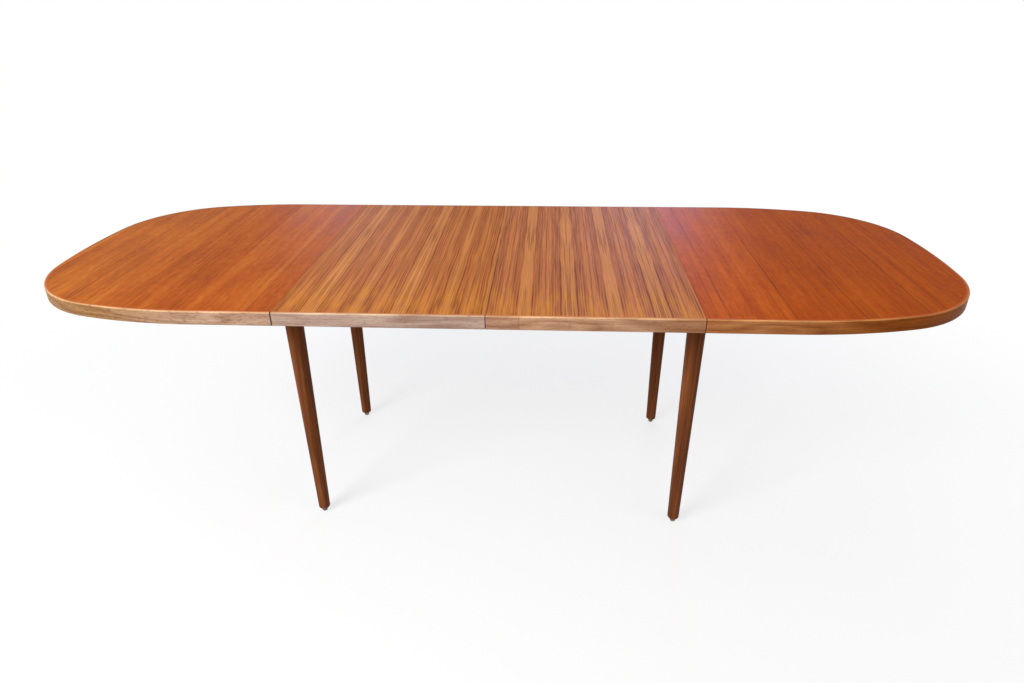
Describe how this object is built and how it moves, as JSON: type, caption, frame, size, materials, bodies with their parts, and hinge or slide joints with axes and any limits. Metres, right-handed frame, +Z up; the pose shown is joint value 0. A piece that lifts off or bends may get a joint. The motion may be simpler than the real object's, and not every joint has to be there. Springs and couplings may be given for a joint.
{
  "type": "oval extension dining table",
  "caption": "Oval extension dining table: rounded veneered end tops slide on grooved runners and lift-out leaves lie between them, on a frame with round tapered legs.",
  "frame": {"origin": "on the floor, under the middle of the extended top", "axes": "+X along the table's length, +Z up, -Y is the long side that faces the viewer"},
  "size_m": [2.3898, 0.89, 0.738],
  "materials": {
    "end_veneer": "satin oiled straight-grained teak veneer",
    "leaf_veneer": "satin oiled striped teak veneer, flitches matched in pairs",
    "backing_veneer": "plain unpolished backing veneer",
    "core_board": "bare blockboard, hidden inside",
    "lipping_teak": "satin oiled solid teak",
    "leg_teak": "satin oiled solid teak, dark",
    "frame_teak": "satin oiled solid teak",
    "beech": "bare waxed beech",
    "screw_steel": "zinc-plated steel",
    "glide_steel": "worn nickel-plated steel"
  },
  "bodies": {
    "base": {"end_rail_left": "frame_teak", "bearer_left": "beech", "end_rail_right": "frame_teak", "bearer_right": "beech", "apron_front": "frame_teak", "guide_front": "beech", "apron_back": "frame_teak", "guide_back": "beech", "leg_front_left": "leg_teak", "corner_block_front_left": "beech", "leg_front_right": "leg_teak", "corner_block_front_right": "beech", "leg_back_left": "leg_teak", "corner_block_back_left": "beech", "leg_back_right": "leg_teak", "corner_block_back_right": "beech", "foot_glides": "glide_steel"},
    "left_top": {"left_top_core": "core_board", "left_top_face_veneer": "end_veneer", "left_top_back_veneer": "backing_veneer", "left_top_lipping": "lipping_teak", "left_top_packer": "lipping_teak", "left_top_seam_strip": "lipping_teak", "left_top_pins": "beech", "left_runner_screws": "screw_steel", "left_runner_stops": "beech", "left_runner_front": "beech", "left_runner_back": "beech"},
    "right_top": {"right_top_core": "core_board", "right_top_face_veneer": "end_veneer", "right_top_back_veneer": "backing_veneer", "right_top_lipping": "lipping_teak", "right_top_packer": "lipping_teak", "right_top_seam_strip": "lipping_teak", "right_top_pins": "beech", "right_runner_screws": "screw_steel", "right_runner_stops": "beech", "right_runner_front": "beech", "right_runner_back": "beech"},
    "left_leaf": {"left_leaf_core": "core_board", "left_leaf_face_veneer": "leaf_veneer", "left_leaf_back_veneer": "backing_veneer", "left_leaf_inner_strip": "lipping_teak", "left_leaf_outer_strip": "lipping_teak", "left_leaf_front_lipping": "lipping_teak", "left_leaf_front_packer": "lipping_teak", "left_leaf_back_lipping": "lipping_teak", "left_leaf_back_packer": "lipping_teak"},
    "right_leaf": {"right_leaf_core": "core_board", "right_leaf_face_veneer": "leaf_veneer", "right_leaf_back_veneer": "backing_veneer", "right_leaf_inner_strip": "lipping_teak", "right_leaf_outer_strip": "lipping_teak", "right_leaf_front_lipping": "lipping_teak", "right_leaf_front_packer": "lipping_teak", "right_leaf_back_lipping": "lipping_teak", "right_leaf_back_packer": "lipping_teak"}
  },
  "joints": [
    {"name": "left_top_draw", "type": "slide", "parent": "base", "child": "left_top", "axis": [-1, 0, 0], "range_m": [0, 0.08]},
    {"name": "right_top_draw", "type": "slide", "parent": "base", "child": "right_top", "axis": [1, 0, 0], "range_m": [0, 0.08]},
    {"name": "left_leaf_lift", "type": "slide", "parent": "base", "child": "left_leaf", "axis": [0, 0, 1], "range_m": [0, 0.3]},
    {"name": "right_leaf_lift", "type": "slide", "parent": "base", "child": "right_leaf", "axis": [0, 0, 1], "range_m": [0, 0.3]}
  ]
}
